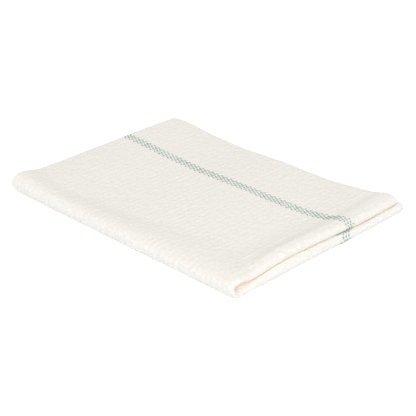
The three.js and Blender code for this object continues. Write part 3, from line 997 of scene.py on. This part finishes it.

# %% [markdown]
# ## The green yarn's material
# The yarn was dyed before weaving. It is a pale sea green where it lies on top. Where it dives
# between the ribs it is painted dark: mostly painted shade, as little light reaches it there, and
# partly because it is pressed tight. The depth of the dive was stored with each point, so the
# painted shade changes exactly where the yarn turns.

# %% The green yarn's material
YARN_LIGHT = (0.58, 0.71, 0.64, 1.0)
# painted shade: this near-black green stands for the little light that reaches a yarn where it dives
YARN_DIVE_SHADE = (0.005, 0.04, 0.025, 1.0)
YARN_FUZZ = 2.4            # cells of fuzz for each millimetre
YARN_WEAR = 0.25           # how much the fibre's shade changes the share of painted dive shade,
YARN_WEAR_MIDDLE = -0.12   # about this middle
YARN_BUMP_STRENGTH = 0.5
YARN_BUMP = 0.2            # millimetres
YARN_ROUGHNESS = 0.9


def yarn_material():
    """Sea-green yarn: its pale green blended towards a painted dark shade by how deep the yarn
    dives, plus a share of the fibre's shade, and bump from the fuzz."""
    material, tree, shader = principled("green_yarn")
    flat = flat_coordinates(tree, -1200, 0)
    fuzz, shade = spun_fibre(tree, flat, YARN_FUZZ, -800, -200)
    dive = node(tree, "ShaderNodeAttribute", -800, 200, attribute_name="dive")
    worn = maths(tree, "MULTIPLY_ADD", [shade, YARN_WEAR, YARN_WEAR_MIDDLE], -600, 0)
    dive_shade_share = maths(tree, "ADD", [dive.outputs["Fac"], worn], -420, 120, use_clamp=True)
    feed(tree, shader.inputs["Base Color"], mixed(tree, YARN_LIGHT, YARN_DIVE_SHADE, dive_shade_share, -230, 200))
    bumped(tree, shader, fuzz, YARN_BUMP_STRENGTH, YARN_BUMP * MM)
    shader.inputs["Roughness"].default_value = YARN_ROUGHNESS
    shader.inputs["Specular IOR Level"].default_value = FIBRE_SHINE
    return material


green_yarn = yarn_material()
yarns.data.materials.append(green_yarn)
print("The stripes are made of", green_yarn.name)

# %% [markdown]
# ## Joining the pieces to the frame
# The new cloth stands for the imported solid, so that one is hidden. The yarns are woven into the
# cloth and go with it.

# %% Bodies and the sheet
for piece, slot_name in ((cloth, "cotton"), (yarns, "stripe_yarn")):
    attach(piece, "root")
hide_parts("folded_cloth")
print("Both pieces ride on the root body")

# %% [markdown]
# ## A pale floor and soft light
# The cloth lies on white, and even its foot has hardly any shadow. A wide white floor under an
# even white sky gives that, with a faint glow of the floor's own that makes up for what the stack
# takes from it. A curved backdrop is the usual studio way, but the floor here fills the picture.

# %% Floor and sky
FLOOR_SIZE = 12.0
FLOOR_WHITE = (0.915, 0.93, 0.945, 1.0)
FLOOR_GLOW_WHITE = (0.975, 1.0, 1.03, 1.0)
FLOOR_GLOW = 0.27
SKY_WHITE = (1.0, 1.0, 1.0, 1.0)
SKY = 0.77

bpy.ops.mesh.primitive_plane_add(size=FLOOR_SIZE, location=(0.0, 0.0, 0.0))
floor = bpy.context.object
floor.name = "floor"
floor_paint, _, floor_shader = principled("white_floor")
floor_shader.inputs["Base Color"].default_value = FLOOR_WHITE
floor_shader.inputs["Roughness"].default_value = 1.0
floor_shader.inputs["Specular IOR Level"].default_value = 0.0
floor_shader.inputs["Emission Color"].default_value = FLOOR_GLOW_WHITE
floor_shader.inputs["Emission Strength"].default_value = FLOOR_GLOW
floor.data.materials.append(floor_paint)

sky = bpy.data.worlds.new("soft_sky")
sky.use_nodes = True
sky_shader = sky.node_tree.nodes["Background"]
sky_shader.inputs["Color"].default_value = SKY_WHITE
sky_shader.inputs["Strength"].default_value = SKY
bpy.context.scene.world = sky
print("Floor and sky are in place")

# %% [markdown]
# Two lamps shape the folds from above the camera: a broad far one, a little to its left, for the
# whole cloth, and a square near one, a little to its right, whose light falls off from the cross
# fold to the hems. The sky alone would leave every slope as bright as the next.

# %% The two lamps
def direction(azimuth, elevation):
    """A unit vector towards a place in the sky, both angles in degrees. The azimuth turns from
    the long fold's side towards the cross fold's, as the camera's does."""
    a, e = math.radians(azimuth), math.radians(elevation)
    return Vector((math.sin(a) * math.cos(e), -math.cos(a) * math.cos(e), math.sin(e)))


def add_lamp(name, data, towards, distance):
    """Puts a lamp at a distance from the cloth in a given direction and aims it at the cloth."""
    lamp = bpy.data.objects.new(name, data)
    lamp.location = towards * distance
    lamp.rotation_euler = towards.to_track_quat("Z", "Y").to_euler()
    bpy.context.scene.collection.objects.link(lamp)
    return lamp


def far_lamp(name, azimuth, elevation, softness, power):
    """A far lamp, which lights the whole cloth alike. It fills the given angle of sky, in
    degrees, and that is what softens its shadows."""
    data = bpy.data.lights.new(name, "SUN")
    data.angle, data.energy = math.radians(softness), power
    return add_lamp(name, data, direction(azimuth, elevation), 1.0)


def near_lamp(name, azimuth, elevation, distance, size, power):
    """A square lamp near the cloth. What lies nearer to it is lit more."""
    data = bpy.data.lights.new(name, "AREA")
    data.size, data.energy = size, power
    return add_lamp(name, data, direction(azimuth, elevation), distance)


lamps = [far_lamp("key_light", azimuth=39.7, elevation=52.0, softness=40.0, power=0.84),
         near_lamp("side_light", azimuth=54.0, elevation=52.0, distance=1.8, size=0.65, power=9.8)]
bpy.context.scene.view_settings.view_transform = "Standard"
for lamp in lamps:
    print(lamp.name, "at", tuple(round(c, 2) for c in lamp.location))

# %% [markdown]
# ## The camera
# The camera looks down at 26 degrees from the corner where both folds meet, turned very slightly
# about its own axis. Its place was worked out from the stack's corners and edges in the picture,
# so it is given as an aim, a distance, and the pixel at which the aimed-at point appears.

# %% Camera
AZIMUTH, ELEVATION, ROLL = 46.87, 25.77, -1.65      # degrees
DISTANCE = 1.258                                    # metres
PIXELS, FOCAL_PIXELS = 416.0, 1159.2
AIM_PIXEL = (199.3, 194.74)                         # where the aimed-at point appears
AIM_HEIGHT = 10.0
AIM = Vector((-OUTLINE_MIDDLE[0], -OUTLINE_MIDDLE[1], AIM_HEIGHT)) * MM
SENSOR_WIDTH = 36.0

azimuth, roll = math.radians(AZIMUTH), math.radians(ROLL)
back = direction(AZIMUTH, ELEVATION)
level_right = Vector((math.cos(azimuth), math.sin(azimuth), 0.0))
level_up = back.cross(level_right)
right = level_right * math.cos(roll) + level_up * math.sin(roll)
up = level_up * math.cos(roll) - level_right * math.sin(roll)
shift_right = (AIM_PIXEL[0] - PIXELS / 2) / FOCAL_PIXELS * DISTANCE
shift_down = (AIM_PIXEL[1] - PIXELS / 2) / FOCAL_PIXELS * DISTANCE

camera_data = bpy.data.cameras.new("camera")
camera_data.sensor_width = SENSOR_WIDTH
camera_data.lens = SENSOR_WIDTH * FOCAL_PIXELS / PIXELS
camera = bpy.data.objects.new("camera", camera_data)
turn = Matrix((right, up, back)).transposed().to_4x4()
place = AIM - right * shift_right + up * shift_down + back * DISTANCE
camera.matrix_world = Matrix.Translation(place) @ turn
bpy.context.scene.collection.objects.link(camera)
bpy.context.scene.camera = camera
print("Lens %.1f mm, camera at" % camera_data.lens, tuple(round(c, 3) for c in place))
